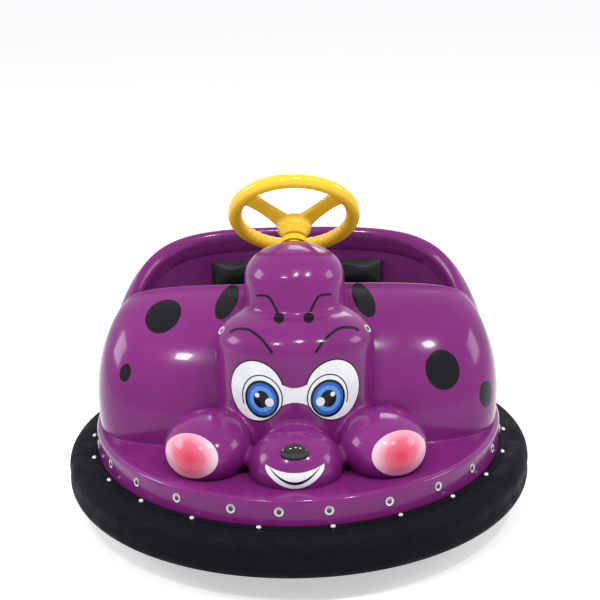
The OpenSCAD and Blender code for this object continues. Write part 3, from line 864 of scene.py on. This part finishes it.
for side, label in sides:
    centre, facing, iris = (mirrored(side, look[key]) for key in ("eye", "eyeFacing", "iris"))
    for name, size, vinyl, lift, onIris in look["eyeParts"]:
        layDecal(name + "_" + label, polarShape(*size), centre, facing, headSurface, vinyl, lift,
                 iris if onIris else (0, 0))
    wide, tall, rise = look["eyeLine"]
    arc = [(iris[0] + wide * math.cos(u), iris[1] + rise + tall * math.sin(u))
           for u in (math.radians(d) for d in range(-20, 201, 20))]
    layDecal("eyeLine_" + label, strokeShape(arc, look["eyeLineWidth"]), centre, facing, headSurface, blackVinyl, 0.8)
    for k, ((x, y), size) in enumerate(look["glints"]):
        layDecal(f"glint{k}_" + label, polarShape(size, size, rings=4, around=28), centre, facing, headSurface,
                 whiteVinyl, 1.8, (iris[0] + side * x, iris[1] + y))
layDecal("eyeBridge", bandShape(look["bridgeHalf"], lambda u: -15 - 16 * u * u, lambda u: 15 + 18 * u * u),
         look["bridge"], (0, -1, 0.04), headSurface, whiteVinyl, 0.6)
blush = blushVinyl(look["blush"], look["blushFade"])
for side, label in sides:
    layDecal("blush_" + label, polarShape(*look["blushSize"]), mirrored(side, look["blush"]),
             mirrored(side, look["blushFacing"]), faceSurface, blush)
smile = bandShape(look["mouthHalf"], lambda u: -4 - 34 * (1 - u * u) ** 0.8, lambda u: 4 - 10 * (1 - u * u))
layDecal("smileWhite", smile, look["mouth"], (0, -1, 0), faceSurface, whiteVinyl)
smile = bandShape(look["lineHalf"], lambda u: -29.6 * (1 - u * u),
                  lambda u: 0.6 - 27 * (1 - u * u) + 2.6 * (1 - u * u) ** 0.5)
layDecal("smileLine", smile, look["mouth"], (0, -1, 0), faceSurface, blackVinyl, 0.9)
print("face decals ready")

# Round spots on the body: angle round the car, share of the way up the wall, width, height
spots = [
    (-126.5, 0.76, 76, 92), (-134.5, 0.39, 28, 38), (-52.5, 0.39, 74, 84), (-38, 0.22, 50, 56),
    (178, 0.52, 84, 80), (158, 0.25, 44, 46), (2, 0.52, 84, 80), (22, 0.25, 44, 46), (140, 0.55, 60, 58),
    (120, 0.30, 84, 82), (96, 0.62, 60, 56), (78, 0.24, 50, 50), (62, 0.56, 82, 78), (38, 0.50, 50, 48),
]
bodySurface = castSurface(bodyShell)


def wallSpot(a, share):
    def at(da, ds):
        return wallPoint(a + da, share + ds, form["foot"], form["rim"], rimHeight(a + da), form["deck"])
    normal = (at(0.01, 0) - at(-0.01, 0)).cross(at(0, 0.01) - at(0, -0.01)).normalized()
    return at(0, 0), normal


for k, (degrees, share, wide, tall) in enumerate(spots):
    centre, facing = wallSpot(math.radians(degrees), share)
    layDecal(f"spot{k:02d}", polarShape(wide, tall), centre, facing, bodySurface, blackVinyl)

# Feelers and brows on the forehead, and a leaf mark on each side of the hump
frontSurface = castSurface(bodyShell, faceMoulding)
marks = {
    "centre": (0, -275, 488), "facing": (0, -0.966, 0.26), "width": 4.5, "dot": 21, "browWidth": 5,
    "feeler": ((76, 46), (62, 46), (50, 42), (40, 26), (33, 10), (30, 0)),
    "brow": ((131, -27), (115, -21), (92, -22), (71, -35), (55, -52), (43, -69)),
    "leaf": (144, -170, 494), "leafSize": (40, 78), "leafTurn": 0.45,
}
for side, label in sides:
    feeler, brow = ([mirrored(side, point) for point in marks[key]] for key in ("feeler", "brow"))
    centre, facing = marks["centre"], marks["facing"]
    layDecal("feeler_" + label, strokeShape(feeler, marks["width"]), centre, facing, frontSurface, blackVinyl)
    layDecal("feelerDot_" + label, polarShape(marks["dot"], marks["dot"], rings=4, around=28), centre, facing,
             frontSurface, blackVinyl, 0.6, feeler[-1])
    layDecal("brow_" + label, strokeShape(brow, marks["browWidth"]), centre, facing, frontSurface, blackVinyl)
    layDecal("leaf_" + label, polarShape(*marks["leafSize"], turn=side * marks["leafTurn"]),
             mirrored(side, marks["leaf"]), facing, frontSurface, blackVinyl)
print("spots and marks ready")

# Fasteners: dark screws in pale cup washers round the skirt, and dome bolts on the rubber
fastener = {
    "skirtInset": 61.8, "skirtHeight": 176, "skirtCount": 25, "skirtFront": (-128, -32, 65), "headAt": (148, 452),
    "washer": 9.4, "washerTall": 2.4, "washerUp": 0.6, "rim": 2.2, "drop": 1.2, "edge": 0.6, "dome": 5.2,
    "ringInset": 51.5, "ringCount": 22, "bolt": 6,
}
outlineSteps = 3600  # for measuring along the car's outline


def buildScrew():
    w = fastener
    cup = dished(addDrum(w["washer"], w["washerTall"], w["washerUp"], 20), w["rim"], w["drop"], w["edge"], 2)
    ops.mesh.primitive_uv_sphere_add(segments=16, ring_count=8, radius=w["dome"] * mm, scale=(1, 1, 0.62))
    return cup, fresh()


def runLength(inward):
    fine = [outlineAt(a, inward, 0) for a in turns(outlineSteps)]
    return sum((fine[i] - fine[i - 1]).length for i in range(outlineSteps))


def ringPlaces(inward, runs):  # runs are lengths along the outline from the middle of the front
    total, places = runLength(inward), []
    goals = sorted(run % total for run in runs)
    run, last = 0.0, outlineAt(-math.pi / 2, inward, 0)
    for i in range(1, outlineSteps + 2):
        a = -math.pi / 2 + 2 * math.pi * i / outlineSteps
        here = outlineAt(a, inward, 0)
        while goals and run >= goals[0]:
            places.append(a)
            goals.pop(0)
        run += (here - last).length
        last = here
    return places


def placedCopies(name, model, matrices):
    copies = []
    for matrix in matrices:
        copy = model.copy()
        copy.data = model.data.copy()
        bpy.context.scene.collection.objects.link(copy)
        copy.data.transform(matrix)
        copies.append(copy)
    bpy.data.objects.remove(model)
    return joined(name, copies)


def upright(point, away):
    z = away.normalized()
    x = Vector((0, 0, 1)).cross(z).normalized()
    y = z.cross(x)
    turn = Matrix((x, y, z)).transposed().to_4x4()
    return Matrix.Translation(point * mm) @ turn


cup, dome = buildScrew()
inward, height, count = fastener["skirtInset"], fastener["skirtHeight"], fastener["skirtCount"]
front = fastener["skirtFront"]  # the three in front stand closer together
pitch = (runLength(inward) - front[2] + front[0]) / (count - 2)
skirtRuns = list(front) + [front[2] + pitch * k for k in range(1, count - 2)]
skirtPlaces = [upright(outlineAt(a, inward, height), Vector((math.cos(a), math.sin(a), 0)))
               for a in ringPlaces(inward, skirtRuns)]
headPlaces = []
across, up = fastener["headAt"]
for side in (-1, 1):
    place = Vector((side * across, -1000, up)) * mm
    spot, normal = faceSurface.ray_cast(place, Vector((0, 1, 0)))[:2]
    headPlaces.append(upright(spot / mm, normal))
cups = placedCopies("screwCups", cup, skirtPlaces + headPlaces)
fit(cups, "car", "bright_steel", paleCup, sharp=30)
domes = placedCopies("screwDomes", dome, skirtPlaces + headPlaces)
fit(domes, "car", "bright_steel", darkScrew, sharp=30)
ops.mesh.primitive_uv_sphere_add(segments=16, ring_count=8, radius=fastener["bolt"] * mm, scale=(1, 1, 0.95))
bolt = fresh()
inward, count = fastener["ringInset"], fastener["ringCount"]
boltRuns = [runLength(inward) * (k + 0.5) / count for k in range(count)]
boltPlaces = [Matrix.Translation(outlineAt(a, inward, strip["high"] + 0.1) * mm) for a in ringPlaces(inward, boltRuns)]
bolts = placedCopies("ringBolts", bolt, boltPlaces)
fit(bolts, "car", "bright_steel", brightSteel, sharp=30)
print("fasteners ready")

# Dished cap in the middle of the steering wheel, on the driver's side
hubCap = {"radius": 27, "tall": 7, "low": -21, "rim": 5, "drop": 1.4, "edge": 1.6}
addDrum(hubCap["radius"], hubCap["tall"], hubCap["low"] + hubCap["tall"] / 2)
capPiece = dished(named("hubCap"), hubCap["rim"], hubCap["drop"], hubCap["edge"], 3)
capPiece.data.transform(columnPlace())
fit(capPiece, "steering_wheel", "wheel_yellow", yellowGrip)

# Frame, brackets and other plain parts with their edges broken
brokenEdges = {
    # The tunnel and bench inside the cockpit take the darker inner material, its colour partly painted shade
    "column_tunnel": (3, "liner_gelcoat", darkShell), "seat_bench": (3, "liner_gelcoat", darkShell),
    "foot_pedal": (1.5, "pedal_paint", frameSteel), "battery_pack": (4, "battery_case", caseBlack),
    "battery_tray": (0.8, "frame_steel", frameSteel), "frame": (1.5, "frame_steel", frameSteel),
    "pivot_bracket": (1.2, "frame_steel", frameSteel), "axle_bracket_left": (1.2, "frame_steel", frameSteel),
    "axle_bracket_right": (1.2, "frame_steel", frameSteel),
}
for node, (width, slot, material) in brokenEdges.items():
    piece = nodes[node].copy()
    piece.data = nodes[node].data.copy()
    piece.name = piece.data.name = node + "Finished"
    bpy.context.scene.collection.objects.link(piece)
    editAll(piece)
    ops.mesh.remove_doubles(threshold=1e-6)
    ops.mesh.dissolve_limited(angle_limit=math.radians(2))
    ops.object.mode_set(mode="OBJECT")
    modify(piece, "BEVEL", width=width * mm, segments=2, limit_method="ANGLE", angle_limit=math.radians(40))
    fit(piece, "car", slot, material, node, sharp=35)

# Rubber ribs across the pedal
pedal = {
    "corner": (120, -150, 200), "hinge": (5, 86, 4), "slope": -28, "length": 82,
    "ribs": 6, "ribSize": (46, 4, 2.4), "ribAt": (30, 10, 8.9), "ribPitch": 12.4, "ribEdge": 0.9,
}
ribs = []
for k in range(pedal["ribs"]):
    across, along, up = pedal["ribAt"]
    ops.mesh.primitive_cube_add(size=1, scale=[c * mm for c in pedal["ribSize"]],
                                location=(across * mm, (along + pedal["ribPitch"] * k) * mm, up * mm))
    rib = modify(fresh(), "BEVEL", width=pedal["ribEdge"] * mm, segments=2, limit_method="ANGLE")
    ribs.append(rib)
pedalRibs = joined("pedalRibs", ribs)
pedalRibs.data.transform(Matrix.Translation((Vector(pedal["corner"]) + Vector(pedal["hinge"])) * mm)
                         @ Matrix.Rotation(math.radians(pedal["slope"]), 4, "X")
                         @ Matrix.Translation((0, -pedal["length"] * mm, 0)))
fit(pedalRibs, "car", "pedal_paint", tyreRubber, sharp=30)
print("cap, frame and pedal ready")

# Seat cushion and back pad, both swelled by cloth, with piping round the cushion
seat = {
    "cushion": (-224, 224, 57, 240, 357, 393), "corner": 40, "edge": 8, "voxel": 5, "benchTop": 355.3,
    "padTurn": 33, "padVoxel": 4, "padEdge": 7, "padBack": 7, "padFront": 21,  # set in from the liner
    "pressure": 4, "cap": 9, "frames": 20, "fill": 0.75, "pipe": 3.2, "pipeDrop": 10, "pipePower": 6,
}


def swelled(obj, lowest=None):
    pick(obj)
    start = [v.co.copy() for v in obj.data.vertices]
    cloth = obj.modifiers.new("cloth", "CLOTH")
    cloth.settings.use_pressure = True
    cloth.settings.uniform_pressure_force = seat["pressure"]
    cloth.settings.effector_weights.gravity = 0
    for step in range(1, seat["frames"] + 1):
        bpy.context.scene.frame_set(step)
    pick(obj)
    ops.object.modifier_apply(modifier=cloth.name)
    bpy.context.scene.frame_set(1)
    cap = seat["cap"] * mm
    for v, was in zip(obj.data.vertices, start):
        move = v.co - was
        if move.length > cap:
            v.co = was + move * (cap / move.length)
        if lowest is not None and v.co.z < lowest * mm:
            v.co.z = lowest * mm
    modify(obj, "SMOOTH", factor=0.4, iterations=3)
    modify(obj, "SUBSURF", levels=1, render_levels=1)


def pipeLoop(name, points, radius, around=10):
    sections = []
    for i, point in enumerate(points):
        run = (points[(i + 1) % len(points)] - points[i - 1]).normalized()
        side = run.cross(Vector((0, 0, 1))).normalized()
        up = side.cross(run).normalized()
        sections.append([point + (side * math.cos(u) + up * math.sin(u)) * radius * mm for u in turns(around)])
    return skinPiece(name, sections)


x0, x1, y0, y1, z0, z1 = seat["cushion"]
ops.mesh.primitive_cube_add(size=1, location=((x0 + x1) / 2 * mm, (y0 + y1) / 2 * mm, (z0 + z1) / 2 * mm),
                            scale=((x1 - x0) * mm, (y1 - y0) * mm, (z1 - z0) * mm))
seatCushion = settle(named("seatCushion"))
corners = [v.co.copy() for v in seatCushion.data.vertices]
choose(seatCushion, "EDGE", lambda part: abs(corners[part.vertices[0]].z - corners[part.vertices[1]].z) > 0.01)
ops.mesh.bevel(offset=seat["corner"] * mm, segments=8)
ops.object.mode_set(mode="OBJECT")
modify(seatCushion, "BEVEL", width=seat["edge"] * mm, segments=3, limit_method="ANGLE")
modify(seatCushion, "REMESH", mode="VOXEL", voxel_size=seat["voxel"] * mm)
swelled(seatCushion, seat["benchTop"])
fit(seatCushion, "car", "seat_vinyl", seatVinyl, "seat_cushion", sharp=60)

padLow, padHigh = (corner[2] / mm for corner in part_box("back_pad"))
padLow, padHigh = padLow + seat["padEdge"], padHigh - seat["padEdge"]


def padSection(a):
    top, foot = linerReach()
    points = []
    for z, side in ((padLow, "padBack"), (padHigh, "padBack"), (padHigh, "padFront"), (padLow, "padFront")):
        share = (z - form["deck"]) / (form["rimBack"] - form["lip"] - form["deck"])
        reach = tuple(f + (t - f) * share - seat[side] for f, t in zip(foot, top))
        points.append(planAt(reach, a, z))
    return points


padTurns = np.linspace(90 - seat["padTurn"], 90 + seat["padTurn"], 41)
backPad = skinPiece("backPad", scaled([padSection(math.radians(d)) for d in padTurns]), ring=False)
modify(backPad, "REMESH", mode="VOXEL", voxel_size=seat["padVoxel"] * mm)
modify(backPad, "SMOOTH", factor=0.5, iterations=4)
swelled(backPad)
fit(backPad, "car", "seat_vinyl", seatVinyl, "back_pad", sharp=60)

cushionSurface = castSurface(seatCushion)
middleY, power = (y0 + y1) / 2, seat["pipePower"]
ring = []
for a in turns(120):
    r = (abs(math.cos(a)) ** power + abs(math.sin(a)) ** power) ** (-1 / power)
    x, y, z = (x1 - x0) / 2 * r * math.cos(a), (y1 - y0) / 2 * r * math.sin(a), z1 - seat["pipeDrop"]
    point = Vector((x, middleY + y, z)) * mm
    away = (point - Vector((x * 0.6, middleY + y * 0.4, z - 6)) * mm).normalized()
    spot = cushionSurface.ray_cast(point + away * 0.04, -away)[0]
    ring.append(point if spot is None else spot)
cushionPiping = pipeLoop("cushionPiping", ring, seat["pipe"])
fit(cushionPiping, "car", "seat_vinyl", seatVinyl, sharp=60)
print("seat ready")

# Tyres: solid rubber with round shoulders, three grooves and a sunk ring on each side
tyre = {
    "radius": 75, "half": 20, "shoulder": 7, "segments": 96,
    "groove": 1.8, "grooveHalf": 1.6, "grooves": (-10, 0, 10),
    "sideRing": ((9, 0), (10, 0.8), (13, 0.8), (14, 0)),  # out from the hole, and how deep
}


def tyreProfile(inner):
    w = tyre
    pts = [(-w["half"] + 1, inner), (-w["half"], inner + 1)]
    pts += [(-w["half"] + deep, inner + out) for out, deep in w["sideRing"]]
    pts += [(x - w["half"], w["radius"] - z) for x, z in quarter(w["shoulder"], 15)]
    g, floor = w["grooveHalf"], w["radius"] - w["groove"]
    for x in w["grooves"]:
        pts += [(x - g, w["radius"]), (x - g * 0.6, floor), (x + g * 0.6, floor), (x + g, w["radius"])]
    return pts + [(-x, r) for x, r in reversed(pts[:13])]


def buildTyre(name, centre, inner):
    profile = tyreProfile(inner)
    sections = [[Vector((centre[0] + x, centre[1] + r * math.cos(a), centre[2] + r * math.sin(a))) for x, r in profile]
                for a in turns(tyre["segments"])]
    return skinPiece(name, scaled(sections))


for node, body in (("rear_tyre_left", "rear_wheel_left"), ("rear_tyre_right", "rear_wheel_right"),
                   ("drive_tyre", "drive_wheel")):
    low, high = (Vector(c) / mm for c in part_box(node))
    middle = (low + high) / 2
    hole = min(Vector((v.co.y / mm - middle.y, v.co.z / mm - middle.z)).length for v in nodes[node].data.vertices)
    piece = buildTyre(node + "Rubber", middle, hole)
    fit(piece, body, "tyre_rubber", tyreRubber, node, sharp=35)
print("tyres ready")

# Finishes of the CAD nodes that stay
kept = {
    # The floor panel takes the darker inner material, its colour partly painted shade
    "hoop": frameSteel, "floor_panel": darkShell, "nose": blackGloss, "column_bearing": yellowGrip,
    "rear_axle": brightSteel, "steering_shaft": brightSteel, "drive_fork": frameSteel, "drive_axle": brightSteel,
    "drive_motor": motorAlloy, "rear_rim_left": wheelAlloy, "rear_rim_right": wheelAlloy,
}
for name, material in kept.items():
    slots = nodes[name].data.materials
    slots.clear()
    slots.append(material)
